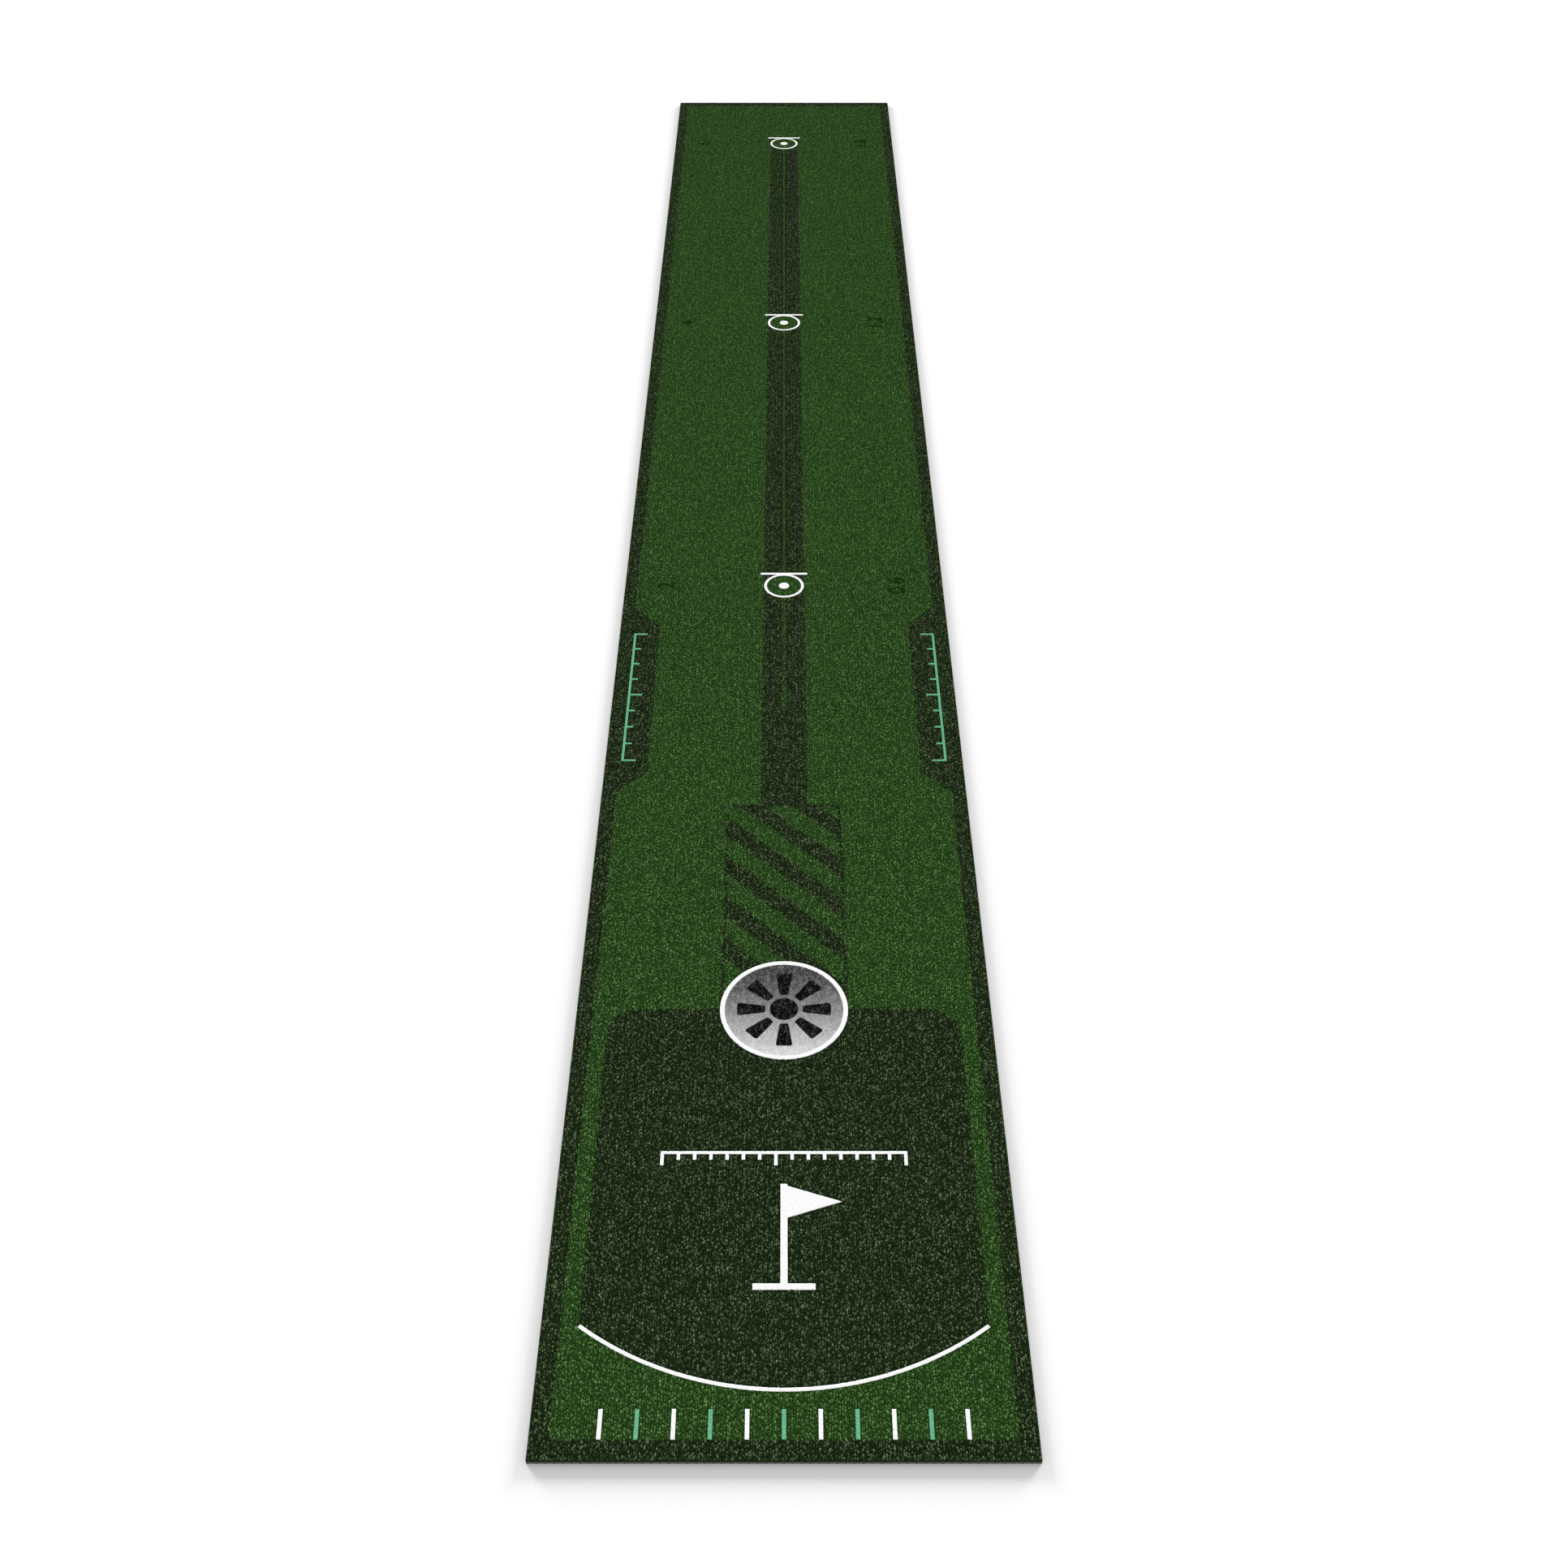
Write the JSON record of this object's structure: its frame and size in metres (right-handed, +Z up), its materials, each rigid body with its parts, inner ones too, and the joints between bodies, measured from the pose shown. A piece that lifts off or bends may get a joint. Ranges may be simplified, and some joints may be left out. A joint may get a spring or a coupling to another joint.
{
  "type": "practice putting mat",
  "caption": "Long flat practice putting mat: cut pile on a rubber sheet, printed with a cup, a striped guide, a centre lane, targets and stance ticks.",
  "frame": {"origin": "centre of the underside, on the floor", "axes": "+Z up from the floor, +Y along the mat from the near end, where the stance ticks are, to the far end, +X across it to the right"},
  "size_m": [0.35, 2.4, 0.005],
  "materials": {
    "rubber_black": "matt, fine anti-slip texture",
    "lock_coat_latex": "dried latex film",
    "carrier_green": "spun-bonded cloth",
    "green_pile": "short cut pile, matt",
    "dark_pile": "short cut pile, matt",
    "white_pile": "short cut pile, matt",
    "teal_pile": "short cut pile, matt",
    "grey_pile": "short cut pile, matt, shaded from dark at its far side to pale at its near side",
    "black_pile": "short cut pile, matt"
  },
  "bodies": {
    "root": {"rubber_backing": "rubber_black", "lock_coat": "lock_coat_latex", "carrier_fabric": "carrier_green", "green_pile": "green_pile", "border_pile": "dark_pile", "start_panel_pile": "dark_pile", "lane_pile": "dark_pile", "guide_outline": "dark_pile", "guide_stripe_1": "dark_pile", "guide_stripe_2": "dark_pile", "guide_stripe_3": "dark_pile", "guide_stripe_4": "dark_pile", "guide_stripe_5": "dark_pile", "guide_stripe_6": "dark_pile", "arc_line": "white_pile", "flag_mark": "white_pile", "aim_scale": "white_pile", "start_tick_01": "white_pile", "start_tick_02": "teal_pile", "start_tick_03": "white_pile", "start_tick_04": "teal_pile", "start_tick_05": "white_pile", "start_tick_06": "teal_pile", "start_tick_07": "white_pile", "start_tick_08": "teal_pile", "start_tick_09": "white_pile", "start_tick_10": "teal_pile", "start_tick_11": "white_pile", "left_tab_scale": "teal_pile", "right_tab_scale": "teal_pile", "hole_rim": "white_pile", "hole_face": "grey_pile", "hole_centre": "black_pile", "hole_slot_1": "black_pile", "hole_slot_2": "black_pile", "hole_slot_3": "black_pile", "hole_slot_4": "black_pile", "hole_slot_5": "black_pile", "hole_slot_6": "black_pile", "hole_slot_7": "black_pile", "hole_slot_8": "black_pile", "target_ring_1": "white_pile", "target_green_1": "green_pile", "target_dot_1": "white_pile", "target_ring_2": "white_pile", "target_green_2": "green_pile", "target_dot_2": "white_pile", "target_ring_3": "white_pile", "target_green_3": "green_pile", "target_dot_3": "white_pile", "aim_arrow": "green_pile", "aim_line_1": "green_pile", "aim_line_2": "green_pile"}
  },
  "joints": []
}
